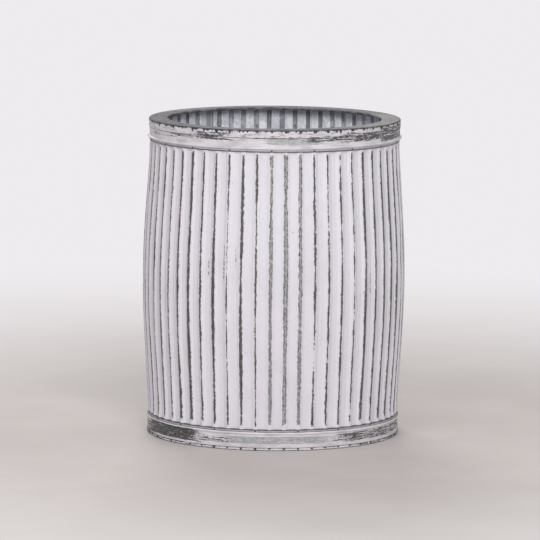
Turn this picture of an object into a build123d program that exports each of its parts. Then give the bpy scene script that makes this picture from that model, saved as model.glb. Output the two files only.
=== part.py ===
from build123d import *
import math
import os

# A free-standing ribbed metal tub, barrel shaped and open at the top.
# A ribbed sheet wall stands on a hooked floor pan, with a hoop at each end and a flat flanged rim.
# Frame: millimetres, +Z up, origin at the centre of the footprint on the floor, front towards -Y.

# Whole tub
overall_height = 530.0
belly_radius = 220.8        # over the rib crests at mid height
sheet = 0.8                 # thickness of every sheet piece
fit_gap = 0.1               # clearance between pieces that slide together

# Rim: hoop, flanged cap and the wire in its rolled inner edge
rim_band_radius = 210.0     # outside of the rim hoop
rim_band_height = 35.8      # rim top to the lower edge of the hoop
rim_opening_radius = 179.0
rim_skirt_depth = 13.5
rim_bead_projection = 3.0
lip_wire_radius = 1.5
lip_curl_end = -30.0        # degrees past which the rolled edge stops, measured from outward level

# Base: hoop and hooked floor pan
base_band_radius = 211.0    # outside of the base hoop
base_band_height = 34.1     # floor to the upper edge of the hoop
base_bead_projection = 1.6
pan_floor_height = 13.0     # floor to the inside face of the pan
pan_corner_radius = 2.0
pan_foot_radius = 0.7       # rounding of the two bottom edges that meet the floor
hem_height = 5.0
drain_hole_radius = 5.0
drain_hole_count = 4
drain_circle_radius = 110.0

# Beads and edge strips of both hoops
bead_height = 5.0
edge_strip_height = 3.2

# Ribs of the wall
rib_count = 57
rib_height = 3.5
rib_crest_width = 4.4
rib_flank_width = 5.6
front_rib_angle = -0.9      # degrees from the front centre line to the nearest crest
rib_drift = 1.2             # degrees that the hand-set ribs wander round the wall
rib_drift_start = 20.0
end_steepness = 0.6         # share of the barrel curve that flattens towards the ends
wall_bands = 8              # even bands between the two hoops, one seam rivet in each

# Side seam, where the end of the wall sheet laps under its start
seam_rib = -23              # ribs counted from the front centre to the first rib of the sheet
seam_start_share = 0.9      # part of the flat panel before the first rib that the sheet covers
seam_landing = 1.6

# Rivets
ribs_per_rivet = 3
first_rim_rivet_rib = 0
first_base_rivet_rib = 2
rivet_head_radius = 1.4
rivet_head_height = 0.7
rivet_head_chamfer = 0.4
rivet_shank_radius = 0.9
rivet_tail_height = 0.6

# Hand-cut notches in the folded edges
notch_width = 3.0
notch_depth = 4.0
notch_edge_gap = 0.4        # from the wide end of a notch to the edge beside it

# Worked out from the sizes above
pitch = 360.0 / rib_count
rim_band_bottom = overall_height - rim_band_height
rim_corner_radius = 2 * sheet + fit_gap
rim_crest_radius = rim_band_radius - sheet - fit_gap
base_crest_radius = base_band_radius - sheet - fit_gap
crest_half_angle = math.degrees(rib_crest_width / 2 / belly_radius)
flank_angle = math.degrees(rib_flank_width / belly_radius)
panel_angle = pitch - 2 * crest_half_angle - 2 * flank_angle
wall_bottom = pan_floor_height
wall_top = overall_height - sheet
rim_rivet_height = rim_band_bottom + edge_strip_height / 2
base_rivet_height = base_band_height - edge_strip_height / 2


def wall_radius(z):
    """Radius over the rib crests: a barrel curve between the hoops, straight inside them."""
    middle = (base_band_height + rim_band_bottom) / 2
    reach = max(-1, min(1, (z - middle) / (rim_band_bottom - middle)))
    end_radius = rim_crest_radius if reach > 0 else base_crest_radius
    round_part = (1 - end_steepness) * reach ** 2
    flat_part = end_steepness * (1 - math.cos(math.pi * reach)) / 2
    return belly_radius - (belly_radius - end_radius) * (round_part + flat_part)


def barrel_levels():
    """Heights at which the wall bends, from the base hoop's edge to the rim hoop's edge."""
    step = (rim_band_bottom - base_band_height) / wall_bands
    return [base_band_height + step * index for index in range(wall_bands + 1)]


def drifted(angle):
    """Moves an angle round the wall by the slow drift of the hand-set ribs."""
    return angle + rib_drift * math.sin(math.radians(angle - rib_drift_start))


def rib_angle(index):
    """Angle of a rib crest, in degrees from the front centre line."""
    return front_rib_angle + index * pitch


def turned(angle):
    """Location whose X axis points outward at an angle from the front centre line."""
    return Rot(0, 0, drifted(angle) - 90)


def sheet_path():
    """Angles and depths of one run of the wall sheet, measured on its outer face."""
    lap = sheet + fit_gap
    half, foot = crest_half_angle, crest_half_angle + flank_angle
    landing = math.degrees(seam_landing / belly_radius)
    first = rib_angle(seam_rib)
    points = [(first + foot + panel_angle * seam_start_share, -rib_height)]
    for index in range(rib_count):
        crest = first - index * pitch
        last = index == rib_count - 1
        points.append((crest + foot, -rib_height))
        points.append((crest + half, 0))
        points.append((crest - half, 0))
        points.append((crest - foot, -rib_height - (lap if last else 0)))
    lapped = first - 360
    points.append((lapped + foot, -rib_height - lap))
    points.append((lapped - foot - landing, -rib_height - lap))
    return points


def sheet_outline(z):
    """Closed outline of the wall sheet at height z, the belly's outline drawn to scale."""
    scale = wall_radius(z) / belly_radius
    path = sheet_path()
    outer = [(angle, belly_radius + depth) for angle, depth in path]
    inner = [(angle, belly_radius + depth - sheet) for angle, depth in reversed(path)]
    corners = []
    for angle, radius in outer + inner:
        direction = math.radians(drifted(angle) - 90)
        x = scale * radius * math.cos(direction)
        y = scale * radius * math.sin(direction)
        corners.append((x, y, z))
    return Wire.make_polygon(corners, close=True)


def rivet():
    """Rivet along X: flat head outside the face at X = 0, equal tail beyond the grip."""
    tail = -rivet_grip - fit_gap
    profile = make_face(Polyline(
        (rivet_head_height, 0),
        (rivet_head_height, rivet_head_radius - rivet_head_chamfer),
        (rivet_head_height - rivet_head_chamfer, rivet_head_radius),
        (0, rivet_head_radius),
        (0, rivet_shank_radius),
        (tail, rivet_shank_radius),
        (tail, rivet_head_radius),
        (tail - rivet_tail_height, rivet_head_radius),
        (tail - rivet_tail_height, 0),
        (rivet_head_height, 0),
    ))
    return revolve(profile, Axis.X)


def rivet_hole():
    """Hole along X for one rivet, through everything within its grip."""
    radius = rivet_shank_radius + fit_gap
    return Pos(-rivet_grip / 2, 0, 0) * Rot(0, 90, 0) * Cylinder(radius, 3 * rivet_grip)


def rim_rivet_places():
    """Locations on the outside of the rim hoop, over every third rib."""
    ribs = range(first_rim_rivet_rib, first_rim_rivet_rib + rib_count, ribs_per_rivet)
    return [turned(rib_angle(rib)) * Pos(rim_band_radius, 0, rim_rivet_height) for rib in ribs]


def base_rivet_places():
    """Locations on the outside of the base hoop, over every third rib."""
    ribs = range(first_base_rivet_rib, first_base_rivet_rib + rib_count, ribs_per_rivet)
    return [turned(rib_angle(rib)) * Pos(base_band_radius, 0, base_rivet_height) for rib in ribs]


def seam_rivet_places():
    """Locations on the flat panel of the side seam, one square to each band of the barrel."""
    angle = rib_angle(seam_rib) + crest_half_angle + flank_angle + panel_angle / 2
    panel_share = 1 - rib_height / belly_radius
    levels = barrel_levels()
    places = []
    for low, high in zip(levels, levels[1:]):
        low_radius, high_radius = wall_radius(low), wall_radius(high)
        slope = math.degrees(math.atan2(high_radius - low_radius, high - low))
        radius = panel_share * (low_radius + high_radius) / 2
        places.append(turned(angle) * Pos(radius, 0, (low + high) / 2) * Rot(0, slope, 0))
    return places


rivet_grip = 2 * sheet + fit_gap


def make_wall():
    """One ribbed sheet rolled into a barrel, its lapped side seam and all rivet holes."""
    levels = [wall_bottom] + barrel_levels() + [wall_top]
    wall = Solid.make_loft([sheet_outline(z) for z in levels], ruled=True)
    places = rim_rivet_places() + base_rivet_places() + seam_rivet_places()
    return wall - [place * rivet_hole() for place in places]


def beaded_hoop(radius, bottom, top, bead_bottom, projection):
    """Plain hoop with one round bead swaged outward."""
    inner = radius - sheet
    bead_top = bead_bottom + bead_height
    bead_middle = bead_bottom + bead_height / 2
    outside = Polyline((radius, bottom), (radius, bead_bottom))
    outer_bead = ThreePointArc(
        (radius, bead_bottom),
        (radius + projection, bead_middle),
        (radius, bead_top),
    )
    over_top = Polyline(
        (radius, bead_top),
        (radius, top),
        (inner, top),
        (inner, bead_top - sheet),
    )
    inner_bead = ThreePointArc(
        (inner, bead_top - sheet),
        (inner + projection, bead_middle),
        (inner, bead_bottom + sheet),
    )
    inside = Polyline((inner, bead_bottom + sheet), (inner, bottom), (radius, bottom))
    profile = make_face([outside, outer_bead, over_top, inner_bead, inside])
    return revolve(Plane.XZ * profile, Axis.Z)


def make_rim_band():
    """Rim hoop: bead and riveted strip at its lower edge, top edge inside the cap's corner."""
    hoop = beaded_hoop(
        rim_band_radius,
        rim_band_bottom,
        overall_height - rim_corner_radius,
        rim_band_bottom + edge_strip_height,
        rim_bead_projection,
    )
    return hoop - [place * rivet_hole() for place in rim_rivet_places()]


def make_base_band():
    """Base hoop: bead and riveted strip at its upper edge, lower edge in the pan's hook."""
    hoop = beaded_hoop(
        base_band_radius,
        sheet,
        base_band_height,
        base_band_height - edge_strip_height - bead_height,
        base_bead_projection,
    )
    return hoop - [place * rivet_hole() for place in base_rivet_places()]


def on_circle(centre, radius, degrees):
    """Point of a circle in the profile plane."""
    direction = math.radians(degrees)
    return (centre[0] + radius * math.cos(direction), centre[1] + radius * math.sin(direction))


def make_rim_cap():
    """Flat flanged ring: inner edge rolled round a wire, outer edge folded down over the hoop."""
    top = overall_height
    under = overall_height - sheet
    curl_inside = lip_wire_radius + fit_gap
    curl_outside = curl_inside + sheet
    centre = (rim_opening_radius + curl_outside, top - curl_outside)
    skirt_inside = rim_band_radius + fit_gap
    skirt_outside = skirt_inside + sheet
    skirt_bottom = top - rim_skirt_depth
    inner_corner = rim_corner_radius - sheet
    diagonal = math.sqrt(0.5)
    halfway = (90 + lip_curl_end + 360) / 2

    curl_end = Line(
        on_circle(centre, curl_outside, lip_curl_end), on_circle(centre, curl_inside, lip_curl_end)
    )
    inside_of_curl = ThreePointArc(
        on_circle(centre, curl_inside, lip_curl_end),
        on_circle(centre, curl_inside, halfway),
        (centre[0], under),
    )
    underside = Line((centre[0], under), (skirt_inside - inner_corner, under))
    corner_inside = ThreePointArc(
        (skirt_inside - inner_corner, under),
        (skirt_inside - inner_corner * (1 - diagonal), under - inner_corner * (1 - diagonal)),
        (skirt_inside, under - inner_corner),
    )
    skirt = Polyline(
        (skirt_inside, under - inner_corner),
        (skirt_inside, skirt_bottom),
        (skirt_outside, skirt_bottom),
        (skirt_outside, top - rim_corner_radius),
    )
    corner_outside = ThreePointArc(
        (skirt_outside, top - rim_corner_radius),
        (skirt_outside - rim_corner_radius * (1 - diagonal), top - rim_corner_radius * (1 - diagonal)),
        (skirt_outside - rim_corner_radius, top),
    )
    flange = Line((skirt_outside - rim_corner_radius, top), (centre[0], top))
    outside_of_curl = ThreePointArc(
        (centre[0], top),
        on_circle(centre, curl_outside, halfway),
        on_circle(centre, curl_outside, lip_curl_end),
    )
    profile = make_face([
        curl_end,
        inside_of_curl,
        underside,
        corner_inside,
        skirt,
        corner_outside,
        flange,
        outside_of_curl,
    ])
    cap = revolve(Plane.XZ * profile, Axis.Z)
    return cap - edge_notches(skirt_inside, top - rim_corner_radius - notch_edge_gap)


def make_lip_wire():
    """Round wire inside the rolled inner edge of the rim."""
    curl_outside = lip_wire_radius + fit_gap + sheet
    centre = (rim_opening_radius + curl_outside, overall_height - curl_outside)
    return revolve(Plane.XZ * Pos(centre[0], centre[1]) * Circle(lip_wire_radius), Axis.Z)


def make_base_pan():
    """Floor pan: its edge turns down inside the base hoop and hooks up round the outside."""
    under = pan_floor_height - sheet
    wall_outside = base_band_radius - sheet - fit_gap
    wall_inside = wall_outside - sheet
    hem_inside = base_band_radius + fit_gap
    hem_outside = hem_inside + sheet
    corner, foot = pan_corner_radius, pan_foot_radius
    inner_corner = corner - sheet
    profile = make_face(Polyline(
        (0, pan_floor_height),
        (0, under),
        (wall_inside - inner_corner, under),
        (wall_inside, under - inner_corner),
        (wall_inside, 0),
        (hem_outside, 0),
        (hem_outside, hem_height),
        (hem_inside, hem_height),
        (hem_inside, sheet),
        (wall_outside, sheet),
        (wall_outside, pan_floor_height),
        (0, pan_floor_height),
    ))
    outer_corner = profile.vertices().filter_by(
        lambda v: abs(v.X - wall_outside) < 0.01 and abs(v.Y - pan_floor_height) < 0.01
    )
    profile = fillet(outer_corner, corner)
    bottom_edges = profile.vertices().filter_by(lambda v: abs(v.Y) < 0.01 and v.X > 1)
    profile = fillet(bottom_edges, foot)
    pan = revolve(Plane.XZ * profile, Axis.Z)
    drains = PolarLocations(drain_circle_radius, drain_hole_count)
    pan -= [Pos(0, 0, under) * place * Cylinder(drain_hole_radius, 4 * sheet) for place in drains]
    return pan - edge_notches(hem_inside, hem_height + notch_edge_gap)


def edge_notches(radius, top):
    """V-shaped cutters, one at each rib, through a fold that starts at a radius."""
    vee = make_face(Polyline(
        (-notch_width / 2, top),
        (notch_width / 2, top),
        (0, top - notch_depth),
        (-notch_width / 2, top),
    ))
    blade = Pos(radius - fit_gap / 2, 0, 0) * extrude(Plane.YZ * vee, 2 * sheet)
    return [turned(rib_angle(rib)) * blade for rib in range(rib_count)]


def rivets(places):
    """One rivet at each place."""
    return Compound(children=[place * rivet() for place in places])


nodes = {
    "fluted_wall": make_wall(),
    "seam_rivets": rivets(seam_rivet_places()),
    "rim_cap": make_rim_cap(),
    "rim_lip_wire": make_lip_wire(),
    "rim_band": make_rim_band(),
    "rim_rivets": rivets(rim_rivet_places()),
    "base_band": make_base_band(),
    "base_rivets": rivets(base_rivet_places()),
    "base_pan": make_base_pan(),
}

os.makedirs("parts", exist_ok=True)
for name, piece in nodes.items():
    export_step(piece, f"parts/{name}.step")
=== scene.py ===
import math

import bmesh
import bpy
import numpy as np
from mathutils import Matrix, Vector


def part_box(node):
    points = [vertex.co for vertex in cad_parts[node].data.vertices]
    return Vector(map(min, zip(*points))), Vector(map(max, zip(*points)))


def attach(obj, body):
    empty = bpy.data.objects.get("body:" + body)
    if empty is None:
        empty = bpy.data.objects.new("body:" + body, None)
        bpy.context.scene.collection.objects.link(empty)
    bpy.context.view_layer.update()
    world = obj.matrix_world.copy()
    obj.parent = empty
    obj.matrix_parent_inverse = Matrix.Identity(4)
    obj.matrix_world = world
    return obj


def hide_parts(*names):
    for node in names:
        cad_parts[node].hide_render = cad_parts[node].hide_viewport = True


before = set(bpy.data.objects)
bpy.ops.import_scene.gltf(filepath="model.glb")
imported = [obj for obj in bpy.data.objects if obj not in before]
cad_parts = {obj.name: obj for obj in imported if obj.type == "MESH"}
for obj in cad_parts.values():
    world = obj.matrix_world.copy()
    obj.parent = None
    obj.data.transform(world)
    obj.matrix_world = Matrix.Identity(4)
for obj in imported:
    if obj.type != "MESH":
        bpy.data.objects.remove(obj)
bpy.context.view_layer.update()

# Sizes in metres, read from the frame where it has them
MM = 0.001
SHEET = 0.8 * MM
FIT_GAP = 0.1 * MM
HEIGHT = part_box("rim_cap")[1][2]
SKIRT_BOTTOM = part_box("rim_cap")[0][2]
SKIRT_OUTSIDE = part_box("rim_cap")[1][0]
BAND_BOTTOM, BAND_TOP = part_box("rim_band")[0][2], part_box("rim_band")[1][2]
BASE_BOTTOM, BASE_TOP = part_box("base_band")[0][2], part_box("base_band")[1][2]
HEM_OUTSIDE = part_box("base_pan")[1][0]
FLOOR_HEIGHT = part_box("base_pan")[1][2]
WALL_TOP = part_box("fluted_wall")[1][2]
RIM_RADIUS = SKIRT_OUTSIDE - SHEET - FIT_GAP
BASE_RADIUS = HEM_OUTSIDE - SHEET - FIT_GAP
OPENING_RADIUS = 179 * MM
HEM_HEIGHT = 5 * MM
BEAD_HEIGHT = 5 * MM
EDGE_STRIP = 3.2 * MM
RIM_BEAD = 3.0 * MM
BASE_BEAD = 1.6 * MM
DRAIN_RADIUS = 5 * MM
DRAIN_CIRCLE = 110 * MM
DRAIN_COUNT = 4
DRAIN_SIDES = 32

# Wall; angles are in degrees from the front centre line, positive to the right
BELLY_RADIUS = 220.8 * MM
RIBS = 57
PITCH = 360.0 / RIBS
PITCH_MM = 2 * math.pi * BELLY_RADIUS / MM / RIBS
RIB_HEIGHT = 3.5 * MM
CREST_HALF = math.degrees(2.2 * MM / BELLY_RADIUS)
FLANK = math.degrees(5.6 * MM / BELLY_RADIUS)
FRONT_RIB = -0.9
DRIFT = 1.2
DRIFT_START = 20.0
END_STEEPNESS = 0.6
CORNER_SOFTNESS = 0.012

# Fineness of the meshes
SAMPLES_PER_PITCH = 24
WALL_ROWS = 34
SHARP_ANGLE = math.radians(38)
SMOOTH_RING = 720
BEAD_STEPS = 14
FOOT_STEPS = 4

# Side seam, counted in ribs from the front one: the share of a flat that the sheet's first end
# covers, how far its last end runs on past a rib, and that run in degrees as the paint shows it
SEAM_RIB = -23
SEAM_COVER = 0.9
SEAM_TAIL = 1.6 * MM
SEAM_TAIL_SHOWN = 0.42
SEAM_END_RIBS = SEAM_RIB - RIBS - (CREST_HALF + FLANK + SEAM_TAIL_SHOWN) / PITCH

# Slight unevenness that the hand-made sheet and hoops have
RIB_SHORTFALL_MM = 0.35
BROAD_DENT = 0.30 * MM
FINE_DENT = 0.12 * MM
DENT_FADE = 20 * MM
HOOP_WOBBLE = 0.12 * MM

# Notches of the hooked edges. Columns of points stand so many millimetres beside each of them,
# with NOTCH_PITCH_MM from one notch to the next
NOTCH_SIDE_MM = [0.4, 0.8, 1.2, 1.7, 2.2, 2.8, 4, 6, 9]
NOTCH_FIRST_MM = -12
NOTCH_PITCH_MM = 24.3
RIM_NOTCH_DEPTH = 5 * MM
PAN_NOTCH_FOOT = 0.6 * MM
HEM_BEVEL = 0.2 * MM
NOTCH_HALF_WIDTHS_MM = (2.0, 4.4)
NOTCH_DEPTH_SHARES = (0.6, 1.15)
NOTCH_WEAR = (0.7, 1.0)
NOTCH_PRESS = SHEET * 0.8
TORN_MARGIN_MM = 0.9
TORN_WEAR = 0.55

RANDOM_SEED = 57

rng = np.random.default_rng(RANDOM_SEED)


def wall_radius(z):
    """Radius over the rib crests: a barrel curve between the hoops, straight inside them."""
    middle = (BASE_TOP + BAND_BOTTOM) / 2
    reach = np.clip((z - middle) / (BAND_BOTTOM - middle), -1, 1)
    end = np.where(reach > 0, RIM_RADIUS, BASE_RADIUS) - SHEET - FIT_GAP
    bend = (1 - END_STEEPNESS) * reach ** 2 + END_STEEPNESS * (1 - np.cos(np.pi * reach)) / 2
    return BELLY_RADIUS - (BELLY_RADIUS - end) * bend


def drifted(angle):
    """Where a rib stands that even spacing would put at an angle: it drifts by up to DRIFT."""
    return angle + DRIFT * np.sin(np.radians(angle - DRIFT_START))


def direction(angle):
    """Heading of an angle from the front centre line, in radians from the X axis."""
    return np.radians(drifted(angle) - 90)


def ease(t):
    """Smooth rise from 0 to 1, level at both ends."""
    t = np.clip(t, 0, 1)
    return t * t * (3 - 2 * t)


def soft_ramp(t):
    """Straight rise from 0 to 1 with its two corners slightly rounded."""
    k = CORNER_SOFTNESS
    return (np.sqrt(t * t + k) - np.sqrt((t - 1) ** 2 + k) + 1) / 2


def mesh_object(name, points, faces, slots, attributes, slot_of_face):
    """A smooth-shaded mesh riding on the tub, with its materials and its point attributes."""
    mesh = bpy.data.meshes.new(name)
    mesh.from_pydata([tuple(p) for p in points], [], [tuple(f) for f in faces])
    mesh.update()
    for label, values in attributes.items():
        layer = mesh.attributes.new(label, "FLOAT", "POINT")
        layer.data.foreach_set("value", np.asarray(values, dtype=np.float32))
    for material in slots:
        mesh.materials.append(material)
    mesh.polygons.foreach_set("material_index", np.asarray(slot_of_face, dtype=np.int32))
    mesh.polygons.foreach_set("use_smooth", [True] * len(mesh.polygons))
    mesh.set_sharp_from_angle(angle=SHARP_ANGLE)
    piece = bpy.data.objects.new(name, mesh)
    bpy.context.scene.collection.objects.link(piece)
    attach(piece, "root")
    return piece


# Materials

class Nodes:
    """Short names for the shader nodes that the materials share."""

    def __init__(self, name):
        self.material = bpy.data.materials.new(name)
        self.material.use_nodes = True
        self.tree = self.material.node_tree
        self.shader = self.tree.nodes["Principled BSDF"]
        self.place = self.tree.nodes.new("ShaderNodeTexCoord").outputs["Object"]
        split = self.tree.nodes.new("ShaderNodeSeparateXYZ")
        self.tree.links.new(self.place, split.inputs[0])
        self.x, self.y, self.z = split.outputs

    def put(self, socket, value):
        """Links a socket to another one, or sets it to a plain value."""
        if isinstance(value, bpy.types.NodeSocket):
            self.tree.links.new(value, socket)
        else:
            socket.default_value = value

    def math(self, operation, *values):
        node = self.tree.nodes.new("ShaderNodeMath")
        node.operation = operation
        for socket, value in zip(node.inputs, values):
            self.put(socket, value)
        return node.outputs[0]

    def add(self, a, b):
        return self.math("ADD", a, b)

    def times(self, a, b):
        return self.math("MULTIPLY", a, b)

    def angle(self):
        """Degrees round the tub from the front centre, positive to the right."""
        turn = self.math("ARCTAN2", self.x, self.times(self.y, -1.0))
        return self.times(turn, 180 / math.pi)

    def radius(self):
        """Distance from the tub's centre line."""
        return self.math("SQRT", self.add(self.times(self.x, self.x), self.times(self.y, self.y)))

    def nearest_rib(self):
        """Place counted in ribs, the nearest rib's number, and millimetres from its crest."""
        ribs = self.attribute("rib_place")
        rib = self.math("ROUND", ribs)
        across = self.times(self.math("ABSOLUTE", self.math("SUBTRACT", ribs, rib)), PITCH_MM)
        return ribs, rib, across

    def attribute(self, name):
        node = self.tree.nodes.new("ShaderNodeAttribute")
        node.attribute_name = name
        return node.outputs["Fac"]

    def combine(self, x, y, z):
        node = self.tree.nodes.new("ShaderNodeCombineXYZ")
        for socket, value in zip(node.inputs, (x, y, z)):
            self.put(socket, value)
        return node.outputs[0]

    def stretched(self, across, up, shift=0.0):
        """Object coordinates scaled by one factor round the tub and another up it."""
        node = self.tree.nodes.new("ShaderNodeMapping")
        self.put(node.inputs["Vector"], self.place)
        node.inputs["Location"].default_value = (shift, shift * 0.7, shift * 1.3)
        node.inputs["Scale"].default_value = (across, across, up)
        return node.outputs[0]

    def noise(self, vector, detail, rough=0.6, distortion=0.0):
        """Fractal noise from 0 to 1 over a vector that already has its scale."""
        node = self.tree.nodes.new("ShaderNodeTexNoise")
        self.put(node.inputs["Vector"], vector)
        node.inputs["Scale"].default_value = 1.0
        node.inputs["Detail"].default_value = detail
        node.inputs["Roughness"].default_value = rough
        node.inputs["Distortion"].default_value = distortion
        return node.outputs["Fac"]

    def sway(self, noise, amount):
        """A noise made to swing to either side of zero, times an amount."""
        return self.times(self.add(noise, -0.5), amount)

    def step(self, value, low, high, out_low=0.0, out_high=1.0):
        """Smooth step of a value from low to high."""
        node = self.tree.nodes.new("ShaderNodeMapRange")
        node.interpolation_type = "SMOOTHSTEP"
        self.put(node.inputs["Value"], value)
        self.put(node.inputs["From Min"], low)
        self.put(node.inputs["From Max"], high)
        self.put(node.inputs["To Min"], out_low)
        self.put(node.inputs["To Max"], out_high)
        return node.outputs["Result"]

    def band(self, value, centre, half_width, soft):
        """One inside centre plus or minus half_width, fading over soft."""
        distance = self.math("ABSOLUTE", self.add(value, -centre))
        return self.step(distance, half_width + soft, half_width)

    def mix(self, share, a, b):
        node = self.tree.nodes.new("ShaderNodeMix")
        node.data_type = "RGBA"
        self.put(node.inputs["Factor"], share)
        self.put(node.inputs["A"], a if isinstance(a, bpy.types.NodeSocket) else (*a, 1))
        self.put(node.inputs["B"], b if isinstance(b, bpy.types.NodeSocket) else (*b, 1))
        return node.outputs["Result"]

    def largest(self, *values):
        result = values[0]
        for value in values[1:]:
            result = self.math("MAXIMUM", result, value)
        return result

    def clamp(self, value):
        return self.math("MINIMUM", self.math("MAXIMUM", value, 0.0), 1.0)

    def bump(self, height, distance, strength):
        node = self.tree.nodes.new("ShaderNodeBump")
        node.inputs["Strength"].default_value = strength
        node.inputs["Distance"].default_value = distance
        self.put(node.inputs["Height"], height)
        self.put(self.shader.inputs["Normal"], node.outputs[0])

    def finish(self, colour, roughness, metallic=0.0, specular=0.5):
        """Gives the shader its surface and returns the finished material."""
        self.put(self.shader.inputs["Base Color"], colour)
        self.put(self.shader.inputs["Roughness"], roughness)
        self.put(self.shader.inputs["Metallic"], metallic)
        self.put(self.shader.inputs["Specular IOR Level"], specular)
        return self.material


def srgb(r, g, b):
    """Linear colour of three display values from 0 to 255."""
    def linear(v):
        v /= 255
        return v / 12.92 if v < 0.04045 else ((v + 0.055) / 1.055) ** 2.4
    return (linear(r), linear(g), linear(b))


# Worn places round the rim, to dark metal and to thin grey: angle, half width, lowest and
# highest level, strength
RIM_PATCHES = [
    (-29, 8, 0.513, 0.523, 0.95),
    (-38, 20, 0.5125, 0.5160, 0.75),
    (-62, 12, 0.508, 0.512, 0.7),
    (28, 14, 0.511, 0.518, 0.8),
    (50, 18, 0.508, 0.521, 0.9),
    (76, 18, 0.504, 0.525, 0.95),
    (8, 18, 0.5150, 0.5180, 0.6),
    (0, 180, 0.5190, 0.5270, 0.42),
    (140, 24, 0.506, 0.520, 0.9),
    (-125, 20, 0.508, 0.522, 1.0),
]
RIM_GREYS = [
    (9, 13, 0.5065, 0.5165, 1.0),
    (-14, 10, 0.5085, 0.5125, 0.6),
    (10, 60, 0.5185, 0.5260, 0.60),
    (-160, 24, 0.506, 0.516, 0.9),
]

# The same for the lower hoop and for the pan's hem below it
BASE_PATCHES = [
    (-55, 18, 0.009, 0.028, 1.2),
    (-84, 16, 0.006, 0.022, 0.9),
    (50, 18, 0.011, 0.024, 0.85),
    (78, 12, 0.012, 0.026, 0.8),
    (-30, 10, 0.012, 0.020, 0.7),
    (150, 25, 0.008, 0.024, 0.9),
    (-140, 18, 0.010, 0.022, 0.9),
]
BASE_GREYS = [
    (0, 100, 0.0055, 0.0110, 0.55),
    (2, 24, 0.0125, 0.0225, 1.1),
    (-24, 14, 0.012, 0.020, 0.8),
    (36, 12, 0.013, 0.021, 0.7),
    (110, 20, 0.012, 0.022, 0.8),
]
HEM_PATCHES = [
    (-62, 24, 0.0, 0.005, 0.75),
    (62, 24, 0.0, 0.005, 0.7),
]
HEM_GREYS = [(0, 30, 0.0, 0.004, 0.5)]

# Paint on a hoop gives way where its streaks pass these values, which worn places pull down
DARK_CUT = 0.645
GREY_CUT = 0.635
PLACE_PULL = 0.20
PLACE_FADE = 0.0025
LINE_FADE = 0.0004

# How far ragged bare teeth hang from the rim's and the hem's folded edges
RIM_TEETH = 0.0066
HEM_TEETH = 0.0030

# Rubbed crests going round the wall: centre, half width and fade in degrees
BROAD_RUBS = (5.5, 6.0, 6.0)
DARK_LEFT_RUBS = (-38.0, 9.0, 8.0)
DARK_RIGHT_RUBS = (58.0, 12.0, 8.0)
BROKEN_RUBS = (28.0, 9.0, 8.0)
# Beyond these angles the crest stripes widen towards both sides, darkening the wall there
SIDE_WIDENING_FROM = 56.0
SIDE_WIDENING_FULL = 66.0

# Half width of a rubbed stripe, and what widens or narrows it, in millimetres
RUB_HALF_WIDTH = 1.62
BROAD_GAIN = 1.1
DARK_GAIN = 0.8
SIDE_GAIN = 0.6
BROKEN_LOSS = 0.2
GAP_LOSS = 1.9

# Paint left whole at the foot and head of each rib, and dirt with painted shadow along both hoops
WHOLE_FOOT = 0.006
WHOLE_HEAD = 0.003
WHOLE_FADE = 0.004
HOOP_DIRT_AND_SHADOW = 0.0008
BASE_DIRT_AND_SHADOW = 0.0007

# Scuffs beside the ribs: angle, height, half angle and half height
SCUFFS = [
    (-22.0, 0.312, 0.22, 0.026),
    (-29.6, 0.300, 0.15, 0.010),
    (-16.8, 0.322, 0.15, 0.012),
    (47.3, 0.272, 0.2, 0.014),
    (131.0, 0.205, 0.25, 0.022),
    (-118.0, 0.38, 0.25, 0.018),
]

# Left part of the flange that is darker, and right part that is lighter: centre, half width, fade
DARK_FLANGE = (-78.0, 26.0, 24.0)
LIGHT_FLANGE = (78.0, 26.0, 24.0)

# Ring at the flange's outer edge that is rubbed dark: where it starts and where it is full
RUBBED_EDGE_FROM = SKIRT_OUTSIDE - 0.0030
RUBBED_EDGE_FULL = SKIRT_OUTSIDE - 0.0008

PAINT = srgb(222, 219, 227)
PAINT_DIRTY = srgb(208, 204, 211)
DARK_METAL = srgb(50, 51, 52)
MID_METAL = srgb(96, 97, 98)
WORN_GREY = srgb(170, 171, 172)


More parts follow.
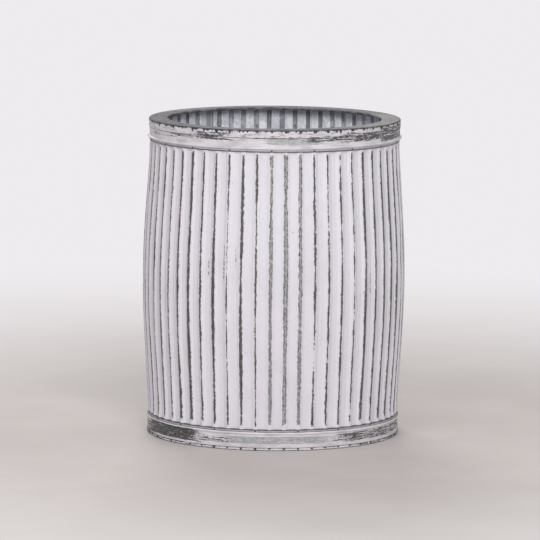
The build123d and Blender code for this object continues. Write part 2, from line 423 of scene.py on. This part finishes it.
def wall_paint():
    """Chalky paint on the ribbed wall, rubbed through to dark metal along the crests."""
    n = Nodes("painted_sheet")
    _, rib, across = n.nearest_rib()
    angle = n.angle()
    own = n.noise(n.combine(n.times(rib, 7.31), 0.0, 0.0), 0.0)
    slow = n.noise(n.stretched(70, 9), 2.0, 0.5)
    mid = n.noise(n.stretched(160, 45, 3.0), 3.0, 0.6)
    ragged = n.noise(n.stretched(520, 230, 5.0), 4.0, 0.74)
    grain = n.noise(n.stretched(420, 170, 8.0), 4.0, 0.75)

    # Half width of the rubbed stripe along each crest
    broad = n.band(angle, *BROAD_RUBS)
    dark = n.add(n.band(angle, *DARK_LEFT_RUBS), n.band(angle, *DARK_RIGHT_RUBS))
    broken = n.band(angle, *BROKEN_RUBS)
    sides = n.step(n.math("ABSOLUTE", angle), SIDE_WIDENING_FROM, SIDE_WIDENING_FULL)
    width = n.add(n.times(broad, BROAD_GAIN), n.times(dark, DARK_GAIN))
    width = n.add(width, n.times(broken, -BROKEN_LOSS))
    width = n.add(width, n.times(sides, SIDE_GAIN))
    width = n.add(width, n.add(n.sway(slow, 5.0), n.sway(own, 2.6)))
    width = n.add(width, n.add(n.sway(mid, 1.8), RUB_HALF_WIDTH))
    gaps = n.step(n.noise(n.stretched(60, 24, 1.5), 2.0), 0.52, 0.62)
    gap_share = n.add(n.times(broken, 0.45), 0.15)
    width = n.add(width, n.times(n.times(gaps, gap_share), -GAP_LOSS))
    inside = n.math("SUBTRACT", n.add(width, n.sway(ragged, 7.5)), across)

    # Bare metal inside the stripe, and its colour: dark at the edge, greyer at its heart
    level = n.add(n.z, n.sway(mid, 0.02))
    rise = n.step(level, BASE_TOP + WHOLE_FOOT, BASE_TOP + WHOLE_FOOT + WHOLE_FADE)
    fall = n.step(level, BAND_BOTTOM - WHOLE_HEAD, BAND_BOTTOM - WHOLE_HEAD - WHOLE_FADE)
    paint_left = n.step(grain, 0.62, 0.70)
    worn = n.times(n.step(inside, -0.12, 0.30), n.times(rise, fall))
    worn = n.times(worn, n.add(1.0, n.times(paint_left, -0.8)))
    heart = n.step(n.add(inside, n.sway(grain, 6.0)), 0.2, 2.0)
    heart = n.times(heart, n.add(n.times(broad, 0.75), 0.08))
    metal = n.mix(n.step(grain, 0.42, 0.62), DARK_METAL, MID_METAL)
    rubbed = n.mix(n.step(ragged, 0.40, 0.58), srgb(124, 126, 126), WORN_GREY)
    rubbed = n.mix(n.step(grain, 0.54, 0.64), rubbed, srgb(200, 198, 203))
    metal = n.mix(heart, metal, rubbed)

    scuffs = 0.0
    for at, height, half_angle, half_height in SCUFFS:
        here = n.times(n.band(angle, at, half_angle, 0.35), n.band(n.z, height, half_height, 0.006))
        scuffs = n.math("MAXIMUM", scuffs, here)
    scuffs = n.times(scuffs, n.step(ragged, 0.50, 0.56))

    # Chalky paint with grime and specks, and dirt with painted shadow along both hoops
    cloud = n.noise(n.stretched(14, 10, 1.0), 3.0)
    dust = n.noise(n.stretched(240, 240, 9.0), 3.0, 0.7)
    dirt = n.add(n.step(cloud, 0.42, 0.75, 0.0, 0.5), n.step(dust, 0.45, 0.75, 0.0, 0.5))
    paint = n.mix(n.clamp(dirt), PAINT, PAINT_DIRTY)
    specks = n.noise(n.stretched(420, 190, 2.0), 2.0, 0.5)
    speck = n.times(n.step(specks, 0.71, 0.75), n.step(mid, 0.5, 0.62))
    under_hoop = n.step(n.z, BAND_BOTTOM - 2 * HOOP_DIRT_AND_SHADOW, BAND_BOTTOM - HOOP_DIRT_AND_SHADOW)
    over_base = n.step(n.z, BASE_TOP + 2 * BASE_DIRT_AND_SHADOW, BASE_TOP + BASE_DIRT_AND_SHADOW)
    dirt_and_shadow_at_hoops = n.times(n.math("MAXIMUM", under_hoop, over_base), n.step(dust, 0.3, 0.5, 0.55, 1.0))
    bare = n.clamp(n.largest(worn, speck, scuffs, dirt_and_shadow_at_hoops))
    colour = n.mix(bare, paint, metal)
    skin = n.noise(n.stretched(260, 260), 5.0, 0.65)
    n.bump(n.add(n.times(worn, -0.6), n.times(skin, 0.35)), 0.0004, 0.5)
    return n.finish(colour, n.add(n.times(worn, -0.12), n.step(skin, 0.2, 0.8, 0.5, 0.62)))


def inside_of_wall():
    """Galvanised inside of the ribbed wall: pale blotched panels, painted shade in the grooves."""
    n = Nodes("galvanised_inside")
    ribs, rib, across = n.nearest_rib()
    wander = n.noise(n.stretched(120, 60, 2.0), 3.0)
    blotches = n.noise(n.stretched(95, 60), 5.0, 0.68, 0.8)
    flowers = n.noise(n.stretched(210, 140, 4.0), 4.0, 0.7, 0.6)
    own = n.noise(n.combine(n.times(rib, 5.17), 0.0, 0.0), 0.0)
    edge = n.add(n.add(across, n.sway(wander, 3.0)), n.sway(own, 3.0))
    # Painted shade in the grooves between the panels
    groove_shade = n.step(edge, 5.1, 4.3)
    panel = n.mix(n.step(blotches, 0.36, 0.64), srgb(206, 207, 216), srgb(246, 246, 251))
    panel = n.mix(n.step(flowers, 0.60, 0.70), panel, srgb(250, 250, 252))
    groove_shade_colour = n.mix(n.step(blotches, 0.36, 0.64), srgb(134, 134, 142), srgb(196, 197, 205))
    groove_shade_colour = n.mix(n.step(own, 0.46, 0.62, 0.0, 0.75), groove_shade_colour, srgb(116, 117, 124))
    # Painted highlight along the panels' edges
    glint = n.times(n.band(edge, 5.9, 0.5, 0.5), n.step(flowers, 0.46, 0.56))
    colour = n.mix(groove_shade, panel, groove_shade_colour)
    colour = n.mix(n.clamp(glint), colour, srgb(252, 252, 254))
    # The sheet's end shows as a dark line of painted shadow where it stands off the flat below,
    # with a duller strip of the lapped flat beside it
    lap = n.band(ribs, SEAM_END_RIBS, 0.035, 0.02)
    tab = n.band(ribs, SEAM_END_RIBS + 0.34, 0.30, 0.03)
    colour = n.mix(n.times(tab, 0.8), colour, srgb(168, 168, 174))
    colour = n.mix(lap, colour, srgb(30, 30, 32))
    n.bump(n.add(blotches, flowers), 0.0003, 0.35)
    return n.finish(colour, n.step(blotches, 0.3, 0.7, 0.45, 0.62), 0.08)


def zinc():
    """Mottled galvanised steel, with pale flowers of zinc."""
    n = Nodes("galvanised_back")
    patches = n.noise(n.stretched(75, 60), 5.0, 0.66, 0.3)
    flowers = n.noise(n.stretched(230, 200, 4.0), 4.0, 0.7, 0.4)
    colour = n.mix(n.step(patches, 0.35, 0.65), srgb(160, 160, 167), srgb(198, 198, 206))
    colour = n.mix(n.step(flowers, 0.60, 0.72), colour, srgb(224, 223, 228))
    n.bump(n.add(patches, flowers), 0.0003, 0.35)
    return n.finish(colour, n.step(patches, 0.3, 0.7, 0.42, 0.6), 0.25)


def flange_wash():
    """Thin dark grey wash over zinc, brushed round the flat of the rim."""
    n = Nodes("weathered_zinc")
    radius = n.radius()
    around = n.times(n.angle(), 0.16)
    brushed = n.combine(around, n.times(radius, 420.0), n.times(n.z, 420.0))
    brushed = n.noise(brushed, 5.0, 0.72, 0.4)
    blotches = n.noise(n.stretched(55, 55), 5.0, 0.7, 0.5)
    specks = n.noise(n.stretched(300, 300, 2.0), 4.0, 0.72)
    tone = n.add(n.times(brushed, 0.55), n.times(blotches, 0.45))
    colour = n.mix(n.step(tone, 0.42, 0.58), srgb(66, 64, 65), srgb(126, 123, 125))
    colour = n.mix(n.step(specks, 0.58, 0.68), colour, srgb(168, 165, 168))
    colour = n.mix(n.times(n.band(n.angle(), *DARK_FLANGE), 0.45), colour, srgb(62, 60, 61))
    colour = n.mix(n.times(n.band(n.angle(), *LIGHT_FLANGE), 0.28), colour, srgb(190, 186, 189))
    colour = n.mix(n.step(specks, 0.42, 0.34), colour, srgb(60, 58, 59))
    outer = n.step(radius, RUBBED_EDGE_FROM, RUBBED_EDGE_FULL)
    outer = n.times(outer, n.step(specks, 0.42, 0.52))
    colour = n.mix(n.clamp(outer), colour, srgb(82, 81, 82))
    n.bump(tone, 0.0003, 0.4)
    return n.finish(colour, n.step(specks, 0.3, 0.7, 0.66, 0.82), specular=0.3)


def hoop_paint(name, patches, greys, shadow_and_dirt_levels, grey_levels=(), teeth=None):
    """Off-white paint on a hoop, worn in level streaks to dark metal and to thin grey.

    patches and greys list the heavier worn places: angle, half width, lowest and highest
    level, and strength. shadow_and_dirt_levels and grey_levels list level lines: lowest, highest,
    strength. The first are dark lines of painted shadow, with dirt, along edges and creases.
    teeth gives the level and the depth of ragged bare teeth that hang from an edge.
    """
    n = Nodes(name)
    angle = n.angle()
    streak = n.noise(n.stretched(34, 520), 5.0, 0.70, 0.25)
    fine = n.noise(n.stretched(210, 640, 2.0), 4.0, 0.74)
    cloud = n.noise(n.stretched(30, 90, 6.0), 3.0, 0.6)
    grain = n.noise(n.stretched(420, 420, 4.0), 4.0, 0.75)
    tone = n.add(n.times(streak, 0.6), n.times(fine, 0.4))
    level = n.add(n.z, n.sway(cloud, 0.004))

    def region(places):
        """How strongly the listed worn places act at a point."""
        total = 0.0
        for at, half, bottom, top, strength in places:
            inside = n.band(level, (bottom + top) / 2, (top - bottom) / 2, PLACE_FADE)
            here = n.times(n.band(angle, at, half * 0.75, half * 0.6 + 3.0), inside)
            total = n.math("MAXIMUM", total, n.times(here, strength))
        return total

    def lines(levels):
        """How strongly the listed level lines act at a point, broken up by the fine noise."""
        total = 0.0
        for bottom, top, strength in levels:
            inside = n.band(n.z, (bottom + top) / 2, (top - bottom) / 2, LINE_FADE)
            broken = n.step(fine, 0.36, 0.52, strength * 0.45, strength)
            total = n.math("MAXIMUM", total, n.times(inside, broken))
        return n.clamp(total)

    dark_cut = n.add(n.times(region(patches), -PLACE_PULL), DARK_CUT)
    worn_dark = n.step(tone, dark_cut, n.add(dark_cut, 0.022))
    grey_cut = n.add(n.times(region(greys), -PLACE_PULL), GREY_CUT)
    worn_grey = n.step(tone, grey_cut, n.add(grey_cut, 0.04))
    paint = n.mix(n.step(cloud, 0.4, 0.7), srgb(217, 213, 219), srgb(192, 188, 193))
    paint = n.mix(n.step(grain, 0.60, 0.72), paint, srgb(176, 175, 178))
    thin = n.mix(n.step(tone, 0.44, 0.58), srgb(132, 134, 134), srgb(190, 190, 192))
    dark = n.mix(n.step(grain, 0.45, 0.66), srgb(60, 61, 61), srgb(112, 113, 113))
    colour = n.mix(worn_grey, paint, thin)
    colour = n.mix(worn_dark, colour, dark)
    if grey_levels:
        grey = n.mix(n.step(fine, 0.4, 0.6), srgb(128, 125, 128), srgb(160, 157, 160))
        colour = n.mix(lines(grey_levels), colour, grey)
    # Dark level lines: painted shadow, with dirt, along edges and creases
    colour = n.mix(lines(shadow_and_dirt_levels), colour, srgb(58, 58, 59))
    if teeth:
        edge, depth = teeth
        saw = n.noise(n.combine(n.times(angle, 0.30), 0.0, 0.0), 3.0, 0.75)
        fall = n.times(n.add(n.times(n.z, -1.0), edge), 0.30 / depth)
        hang = n.math("SUBTRACT", n.add(saw, n.sway(grain, 0.22)), n.add(fall, 0.455))
        dent = n.step(n.add(n.attribute("chip"), n.sway(grain, 1.4)), 0.26, 0.40)
        chip = n.math("MAXIMUM", dent, n.step(hang, 0.0, 0.03))
        colour = n.mix(chip, colour, srgb(44, 44, 45))
    n.bump(n.add(n.times(tone, 0.5), n.times(worn_dark, -0.5)), 0.0004, 0.45)
    return n.finish(colour, n.step(tone, 0.35, 0.65, 0.58, 0.44))


def dark_steel(name, tone):
    """Tarnished bare steel of rivets and wire, from a display grey to a lighter one."""
    n = Nodes(name)
    grain = n.noise(n.stretched(700, 700), 4.0, 0.7)
    light = tone * 1.6
    colour = n.mix(n.step(grain, 0.35, 0.65), srgb(tone, tone, tone), srgb(light, light, light))
    n.bump(grain, 0.0002, 0.5)
    return n.finish(colour, n.step(grain, 0.3, 0.7, 0.4, 0.6), 0.4)


# Pieces

def unevenness(turn, z):
    """How far the hand-made wall is pressed in at a heading and a height, none near its ends."""
    dent = BROAD_DENT * (1 + np.sin(3 * turn + 9 * z) * np.sin(5 * turn - 14 * z))
    dent += FINE_DENT * (1 + np.sin(17 * turn + 40 * z))
    return dent * ease((z - BASE_TOP) / DENT_FADE) * ease((BAND_BOTTOM - z) / DENT_FADE)


def wall_piece():
    """The ribbed sheet wall, rolled once round with its ends lapped at the side seam."""
    lap = SHEET + FIT_GAP
    foot = CREST_HALF + FLANK
    first = FRONT_RIB + SEAM_RIB * PITCH
    panel = PITCH - 2 * foot
    start = first + foot + panel * SEAM_COVER
    end = first - 360 - foot - math.degrees(SEAM_TAIL / BELLY_RADIUS)
    columns = int((start - end) / PITCH * SAMPLES_PER_PITCH) + 1
    angles = np.linspace(start, end, columns)

    # Depth below the crests: ribs and flats, and the last rib falling to the lapped flat
    ribs = (angles - FRONT_RIB) / PITCH
    centre = np.round(ribs)
    offset = np.abs(ribs - centre) * PITCH
    fall = soft_ramp((offset - CREST_HALF) / FLANK)
    depth = -RIB_HEIGHT * fall
    last_crest = first - (RIBS - 1) * PITCH
    falling = soft_ramp((last_crest - CREST_HALF - angles) / FLANK)
    past = angles < last_crest - CREST_HALF
    depth = np.where(past, -(RIB_HEIGHT + lap) * falling, depth)
    depth = np.where(angles < last_crest - foot, -RIB_HEIGHT - lap, depth)

    # Each rib falls short of its full height by its own small amount
    low_rib = rng.uniform(0.0, RIB_SHORTFALL_MM, RIBS + 2) * MM
    height_loss = low_rib[(centre - centre.min()).astype(int)]
    depth = depth - np.where(past, 0, height_loss * (1 - fall))

    # Each row runs along the outside and back along the inside
    heights = np.linspace(FLOOR_HEIGHT, WALL_TOP, WALL_ROWS)
    turn = direction(angles)
    points, places = [], []
    for z in heights:
        scale = wall_radius(z) / BELLY_RADIUS
        outer = (BELLY_RADIUS + depth) * scale - unevenness(turn, z)
        inner = outer - SHEET * scale
        for radius, heading in ((outer, turn), (inner[::-1], turn[::-1])):
            points.append(np.stack(
                [radius * np.cos(heading), radius * np.sin(heading), np.full(columns, z)], axis=1))
        places += [ribs, ribs[::-1]]
    points = np.concatenate(points)
    places = np.concatenate(places)
    ring = 2 * columns
    faces, skins = [], []
    for row in range(WALL_ROWS - 1):
        for i in range(ring):
            j = (i + 1) % ring
            low, high = row * ring, (row + 1) * ring
            faces.append((low + i, high + i, high + j, low + j))
            skins.append(0 if i < columns - 1 else 1)
    top = (WALL_ROWS - 1) * ring
    for i in range(columns - 1):
        a, b, c, d = i, i + 1, ring - 2 - i, ring - 1 - i
        faces.append((a, b, c, d))
        faces.append((top + d, top + c, top + b, top + a))
        skins += [1, 1]
    wall = mesh_object(
        "fluted_wall_dressed", points, faces, [wall_paint(), inside_of_wall()],
        {"rib_place": places}, skins)
    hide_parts("fluted_wall")


def notch_columns():
    """Angles round a hooked edge, gathered where its notches are, and each one's notch."""
    near = [NOTCH_FIRST_MM] + [-mm for mm in NOTCH_SIDE_MM[::-1]] + [0] + NOTCH_SIDE_MM
    angles, offsets, owners = [], [], []
    for rib in range(RIBS):
        centre = FRONT_RIB + rib * PITCH
        for mm in near:
            angles.append(centre + mm / NOTCH_PITCH_MM * PITCH)
            offsets.append(mm)
            owners.append(rib)
    return np.array(angles), np.array(offsets), np.array(owners)


def revolved(name, profile, slots, slot_of_edge, chips=None, closed=True):
    """A profile of (radius, height) points swept round the tub.

    chips(radius, z, offsets, owners) gives how far the points of a ring are pressed in, and how
    worn they are, from their distances to the nearest notch and from that notch's number.
    """
    if chips:
        angles, offsets, owners = notch_columns()
        heading = direction(angles)
    else:
        heading = np.linspace(0, 2 * math.pi, SMOOTH_RING, endpoint=False)
        offsets = owners = np.zeros(SMOOTH_RING)
    around = len(heading)
    profile = np.array(profile)
    count = len(profile)
    after_r, after_z = np.roll(profile, -1, axis=0).T
    clockwise = np.sum(profile[:, 0] * after_z - after_r * profile[:, 1]) < 0
    points, worn = [], []
    for radius, z in profile:
        wobble = HOOP_WOBBLE * (np.sin(2 * heading + 60 * z) - 1)
        r, mark = np.full(around, radius), np.zeros(around)
        if chips:
            pressed, mark = chips(radius, z, offsets, owners)
            r = r - pressed
        r = r + wobble
        points.append(np.stack(
            [r * np.cos(heading), r * np.sin(heading), np.full(around, z)], axis=1))
        worn.append(mark)
    faces, skins = [], []
    for k in range(count if closed else count - 1):
        after = (k + 1) % count
        for i in range(around):
            j = (i + 1) % around
            here, there = k * around, after * around
            face = (here + i, here + j, there + j, there + i)
            faces.append(face[::-1] if clockwise else face)
            skins.append(slot_of_edge[k])
    return mesh_object(
        name, np.concatenate(points), faces, slots, {"chip": np.concatenate(worn)}, skins)


def arc(centre, radius, start, stop, steps):
    """Points of an arc in the (radius, height) plane, from start to stop in degrees."""
    turns = np.radians(np.linspace(start, stop, steps))
    return [(centre[0] + radius * math.cos(t), centre[1] + radius * math.sin(t)) for t in turns]


def bulge(radius, bottom, top, projection):
    """Points up a swaged bead that stands out from a hoop, with softly rounded shoulders."""
    shares = np.linspace(0, 1, BEAD_STEPS)
    out = np.sin(np.pi * shares) ** 0.8
    return [(radius + projection * o, bottom + (top - bottom) * s) for o, s in zip(out, shares)]


def hoop_profile(radius, bottom, top, bead_bottom, projection):
    """Closed outline of a beaded hoop, and which of its edges face inward."""
    bead_top = bead_bottom + BEAD_HEIGHT
    inner = radius - SHEET
    outside = [(radius, z) for z in np.linspace(bottom, bead_bottom, 4)[:-1]]
    bead = bulge(radius, bead_bottom, bead_top, projection)
    above = [(radius, z) for z in np.linspace(bead_top, top, 5)[1:]]
    back_bead = bulge(inner, bead_bottom + SHEET, bead_top - SHEET, projection)[::-1]
    points = outside + bead + above + [(inner, top)] + back_bead + [(inner, bottom)]
    skins = [0] * len(points)
    for k in range(len(outside) + len(bead) + len(above) - 1, len(points)):
        skins[k] = 1
    return points, skins


def rim_band_piece(inside_zinc):
    """Upper hoop, its bead above a narrow edge strip."""
    strip_top = BAND_BOTTOM + EDGE_STRIP
    points, skins = hoop_profile(RIM_RADIUS, BAND_BOTTOM, BAND_TOP, strip_top, RIM_BEAD)
    paint = hoop_paint(
        "worn_rim_paint",
        RIM_PATCHES,
        RIM_GREYS,
        # Painted shadow with dirt where the strip meets the wall, painted shade in the bead's
        # crease
        shadow_and_dirt_levels=[
            (BAND_BOTTOM - 0.001, BAND_BOTTOM + 0.0006, 0.95),
            (strip_top - 0.0004, strip_top + 0.0001, 0.3),
        ],
        grey_levels=[(BAND_BOTTOM, strip_top - 0.0010, 0.75)],
    )
    band = revolved("rim_band_dressed", points, [paint, inside_zinc], skins)
    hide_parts("rim_band")


def base_band_piece(inside_zinc):
    """Lower hoop, its bead below a narrow edge strip."""
    strip_bottom = BASE_TOP - EDGE_STRIP
    bead_bottom = strip_bottom - BEAD_HEIGHT
    points, skins = hoop_profile(BASE_RADIUS, BASE_BOTTOM, BASE_TOP, bead_bottom, BASE_BEAD)
    paint = hoop_paint(
        "worn_base_paint",
        BASE_PATCHES,
        BASE_GREYS,
        # Painted shadow with dirt where the strip meets the wall, painted shade in the bead's
        # crease
        shadow_and_dirt_levels=[
            (BASE_TOP - 0.0005, BASE_TOP + 0.001, 0.95),
            (strip_bottom - 0.0003, strip_bottom + 0.0004, 0.8),
        ],
        grey_levels=[(strip_bottom, BASE_TOP, 0.75)],
    )
    band = revolved("base_band_dressed", points, [paint, inside_zinc], skins)
    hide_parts("base_band")


def notch_marks(top, bottom, outside_radius):
    """How far a hooked edge is pressed in beside its notches, and how worn it is there."""
    half_widths = rng.uniform(*NOTCH_HALF_WIDTHS_MM, RIBS)
    depths = rng.uniform(*NOTCH_DEPTH_SHARES, RIBS)
    wear = rng.uniform(*NOTCH_WEAR, RIBS)

    def chips(radius, z, offsets, owners):
        owners = owners.astype(int)
        if radius < outside_radius - SHEET * 0.6 or z > top + 2 * MM:
            return np.zeros(len(offsets)), np.zeros(len(offsets))
        share = np.clip((z - (top - (top - bottom) * depths[owners])) / (top - bottom), 0, 1)
        half = half_widths[owners] * share
        inside = ease(1.35 - np.abs(offsets) / np.maximum(half, 0.05)) * (share > 0)
        torn = ease(1.6 - np.abs(offsets) / (half + TORN_MARGIN_MM)) * (share > 0)
        return inside * NOTCH_PRESS, np.maximum(inside, torn * TORN_WEAR) * wear[owners]
    return chips


def rim_cap_piece(inside_zinc):
    """Flat flanged ring: rolled inner edge, rounded outer corner, notched skirt."""
    curl_inside = 1.6 * MM
    curl_outside = curl_inside + SHEET
    centre = (OPENING_RADIUS + curl_outside, HEIGHT - curl_outside)
    corner = 2 * SHEET + FIT_GAP
    corner_centre = (SKIRT_OUTSIDE - corner, HEIGHT - corner)
    under = HEIGHT - SHEET
    inner_skirt = SKIRT_OUTSIDE - SHEET
    flat = [(r, HEIGHT) for r in np.linspace(centre[0], SKIRT_OUTSIDE - corner, 7)]
    round_out = arc(corner_centre, corner, 90, 0, 6)[1:]
    top = HEIGHT - corner
    skirt_foot = SKIRT_BOTTOM + 2 * HEM_BEVEL
    skirt = [(SKIRT_OUTSIDE, z) for z in np.linspace(top, skirt_foot, 16)[1:]]
    hem = [(SKIRT_OUTSIDE - HEM_BEVEL, SKIRT_BOTTOM), (inner_skirt, SKIRT_BOTTOM)]
    round_in = arc(corner_centre, corner - SHEET, 0, 90, 5)
    back = [(centre[0], under)]
    curl_in = arc(centre, curl_inside, 90, 330, 14)[1:]
    curl_out = arc(centre, curl_outside, 330, 90, 16)[:-1]
    points = flat + round_out + skirt + hem + round_in + back + curl_in + curl_out
    painted_from = len(flat) + len(round_out) - 2
    painted_to = len(flat) + len(round_out) + len(skirt)
    skins = [0] * len(points)
    for k in range(painted_from, painted_to):
        skins[k] = 1
    for k in range(painted_to, painted_to + len(hem) + len(round_in)):
        skins[k] = 2
    paint = hoop_paint(
        "worn_skirt_paint",
        RIM_PATCHES,
        RIM_GREYS,
        # Painted shadow with dirt along the skirt's lower edge
        shadow_and_dirt_levels=[(SKIRT_BOTTOM - 0.001, SKIRT_BOTTOM + 0.0007, 0.9)],
        grey_levels=[(top - 0.0006, HEIGHT, 0.9)],
        teeth=(top, RIM_TEETH),
    )
    cap = revolved(
        "rim_cap_dressed", points, [flange_wash(), paint, inside_zinc], skins,
        notch_marks(top, top - RIM_NOTCH_DEPTH, SKIRT_OUTSIDE))
    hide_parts("rim_cap")


def base_pan_piece(inside_zinc):
    """Round floor pan with drain holes, its edge hooked up round the base hoop."""
    wall_out = BASE_RADIUS - SHEET - FIT_GAP
    wall_in = wall_out - SHEET
    hem_in = BASE_RADIUS + FIT_GAP
    foot = 0.7 * MM
    corner = 2 * MM
    under = FLOOR_HEIGHT - SHEET
    inner_rim = DRAIN_CIRCLE + DRAIN_RADIUS * 2
    top_corner = arc((wall_out - corner, FLOOR_HEIGHT - corner), corner, 90, 0, 6)
    down = [(wall_out, SHEET), (hem_in, SHEET), (hem_in, HEM_HEIGHT)]
    hem = [(HEM_OUTSIDE - HEM_BEVEL, HEM_HEIGHT)]
    hem += [(HEM_OUTSIDE, z) for z in np.linspace(HEM_HEIGHT - 0.3 * MM, foot, 9)]
    feet = arc((HEM_OUTSIDE - foot, foot), foot, 0, -90, FOOT_STEPS)[1:]
    feet += arc((wall_in + foot, foot), foot, 270, 180, FOOT_STEPS)
    up = [(wall_in, under - corner + SHEET)]
    back = arc((wall_in - corner + SHEET, under - corner + SHEET), corner - SHEET, 0, 90, 4)[1:]
    points = [(inner_rim, FLOOR_HEIGHT)] + top_corner + down + hem + feet + up + back
    points += [(inner_rim, under)]
    start = len(top_corner) + len(down)
    stop = start + len(hem) + FOOT_STEPS
    skins = [0] * len(points)
    for k in range(start, stop):
        skins[k] = 1
    paint = hoop_paint(
        "worn_hem_paint",
        HEM_PATCHES,
        HEM_GREYS,
        # Painted shadow with dirt where the hem meets the base hoop, painted contact shadow at the
        # foot
        shadow_and_dirt_levels=[(HEM_HEIGHT - 0.0007, HEM_HEIGHT + 0.001, 0.9), (-0.001, 0.0012, 0.9)],
        teeth=(HEM_HEIGHT, HEM_TEETH),
    )
    pan = revolved(
        "base_pan_dressed", points, [inside_zinc, paint], skins,
        notch_marks(HEM_HEIGHT, PAN_NOTCH_FOOT, HEM_OUTSIDE), closed=False)
    fill_pan_floor(pan, under)
    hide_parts("base_pan")


def fill_pan_floor(pan, under):
    """Closes the pan's edge ring with a floor of sheet thickness, pierced by the drain holes."""
    bm = bmesh.new()
    bm.from_mesh(pan.data)
    rings = []
    for level in (FLOOR_HEIGHT, under):
        open_edges = [
            e for e in bm.edges
            if e.is_boundary and all(abs(v.co.z - level) < 0.2 * SHEET for v in e.verts)]
        holes = []
        for turn in np.linspace(0, 2 * math.pi, DRAIN_COUNT, endpoint=False):
            centre = Vector((DRAIN_CIRCLE * math.cos(turn), DRAIN_CIRCLE * math.sin(turn), level))
            ring = [
                bm.verts.new(centre + DRAIN_RADIUS * Vector((math.cos(t), math.sin(t), 0)))
                for t in np.linspace(0, 2 * math.pi, DRAIN_SIDES, endpoint=False)]
            holes.append(ring)
            open_edges += [bm.edges.new((ring[i - 1], ring[i])) for i in range(DRAIN_SIDES)]
        bmesh.ops.triangle_fill(bm, edges=open_edges, use_beauty=True)
        rings.append(holes)
    for upper, lower in zip(*rings):
        for i in range(DRAIN_SIDES):
            bm.faces.new((upper[i - 1], upper[i], lower[i], lower[i - 1]))
    bmesh.ops.recalc_face_normals(bm, faces=bm.faces)
    bm.to_mesh(pan.data)
    bm.free()
    pan.data.set_sharp_from_angle(angle=SHARP_ANGLE)


inside_zinc = zinc()
wall_piece()
rim_band_piece(inside_zinc)
base_band_piece(inside_zinc)
rim_cap_piece(inside_zinc)
base_pan_piece(inside_zinc)

rivet_steel = dark_steel("bare_rivet", 56)
wire_steel = dark_steel("bare_wire", 110)
for node, material in (
    ("rim_rivets", rivet_steel),
    ("base_rivets", rivet_steel),
    ("seam_rivets", rivet_steel),
    ("rim_lip_wire", wire_steel),
):
    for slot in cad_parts[node].material_slots:
        slot.material = material


# Stage, camera and lights

FLOOR_SPAN = 40.0
FADE_START = 0.35
FADE_END = 2.2


def floor_material():
    """Plain pale floor that fades to white away from the tub, and is clear from below."""
    n = Nodes("pale_floor")
    soft = n.noise(n.stretched(3, 3), 3.0)
    colour = n.mix(n.step(soft, 0.35, 0.65), srgb(196, 188, 185), srgb(202, 194, 191))
    n.finish(colour, 0.75, specular=0.2)
    path = n.tree.nodes.new("ShaderNodeLightPath")
    seen = n.largest(path.outputs["Is Camera Ray"], path.outputs["Is Glossy Ray"],
                     path.outputs["Is Transmission Ray"])
    white = n.tree.nodes.new("ShaderNodeEmission")
    white.inputs["Strength"].default_value = 1.0
    white.inputs["Color"].default_value = (*srgb(238, 235, 238), 1)
    blend = n.tree.nodes.new("ShaderNodeMixShader")
    n.put(blend.inputs[0], n.times(n.step(n.radius(), FADE_START, FADE_END), seen))
    n.tree.links.new(n.shader.outputs[0], blend.inputs[1])
    n.tree.links.new(white.outputs[0], blend.inputs[2])
    clear = n.tree.nodes.new("ShaderNodeBsdfTransparent")
    side = n.tree.nodes.new("ShaderNodeNewGeometry")
    one_sided = n.tree.nodes.new("ShaderNodeMixShader")
    n.put(one_sided.inputs[0], side.outputs["Backfacing"])
    n.tree.links.new(blend.outputs[0], one_sided.inputs[1])
    n.tree.links.new(clear.outputs[0], one_sided.inputs[2])
    n.tree.links.new(one_sided.outputs[0], n.tree.nodes["Material Output"].inputs["Surface"])
    return n.material


floor_mesh = bpy.data.meshes.new("floor")
floor_mesh.from_pydata(
    [(sx * FLOOR_SPAN, sy * FLOOR_SPAN, 0) for sx, sy in ((-1, -1), (1, -1), (1, 1), (-1, 1))],
    [], [(0, 1, 2, 3)])
floor_mesh.materials.append(floor_material())
floor = bpy.data.objects.new("floor", floor_mesh)
bpy.context.scene.collection.objects.link(floor)

# Camera fitted to the photograph: place in metres, tilts in degrees
CAMERA_DISTANCE = 7.85
CAMERA_HEIGHT = 1.313
CAMERA_PITCH = 7.55
CAMERA_ROLL = 0.45
CAMERA_ASIDE = -0.0062
FOCAL_PIXELS = 4707
IMAGE_PIXELS = 540
SENSOR = 36.0

camera_data = bpy.data.cameras.new("camera")
camera_data.sensor_fit = "HORIZONTAL"
camera_data.sensor_width = SENSOR
camera_data.lens = FOCAL_PIXELS / IMAGE_PIXELS * SENSOR
camera_data.clip_end = 100
camera = bpy.data.objects.new("camera", camera_data)
bpy.context.scene.collection.objects.link(camera)
camera.location = (CAMERA_ASIDE, -CAMERA_DISTANCE, CAMERA_HEIGHT)
camera.rotation_mode = "XYZ"
look = Vector((0, math.cos(math.radians(CAMERA_PITCH)), -math.sin(math.radians(CAMERA_PITCH))))
facing = look.to_track_quat("-Z", "Y")
roll = Matrix.Rotation(math.radians(CAMERA_ROLL), 3, "Z")
camera.rotation_euler = (facing.to_matrix() @ roll).to_euler()
bpy.context.scene.camera = camera


LIGHT_TARGET = Vector((0, 0, 0.3))
WORLD_STRENGTH = 0.48


def area_light(name, place, size, power):
    """A square area light aimed at the tub."""
    data = bpy.data.lights.new(name, "AREA")
    data.shape = "RECTANGLE"
    data.size = size
    data.size_y = size
    data.energy = power
    lamp = bpy.data.objects.new(name, data)
    bpy.context.scene.collection.objects.link(lamp)
    lamp.location = place
    lamp.rotation_euler = (LIGHT_TARGET - Vector(place)).to_track_quat("-Z", "Y").to_euler()


area_light("key", (0.7, -4.4, 2.6), 1.8, 112)
area_light("fill", (-1.6, -3.6, 3.2), 2.0, 40)
area_light("back", (-0.8, 4.4, 2.8), 2.4, 105)

world = bpy.data.worlds.new("studio")
bpy.context.scene.world = world
world.use_nodes = True
background = world.node_tree.nodes["Background"]
background.inputs["Color"].default_value = (1, 1, 1, 1)
background.inputs["Strength"].default_value = WORLD_STRENGTH

bpy.context.scene.view_settings.view_transform = "Standard"
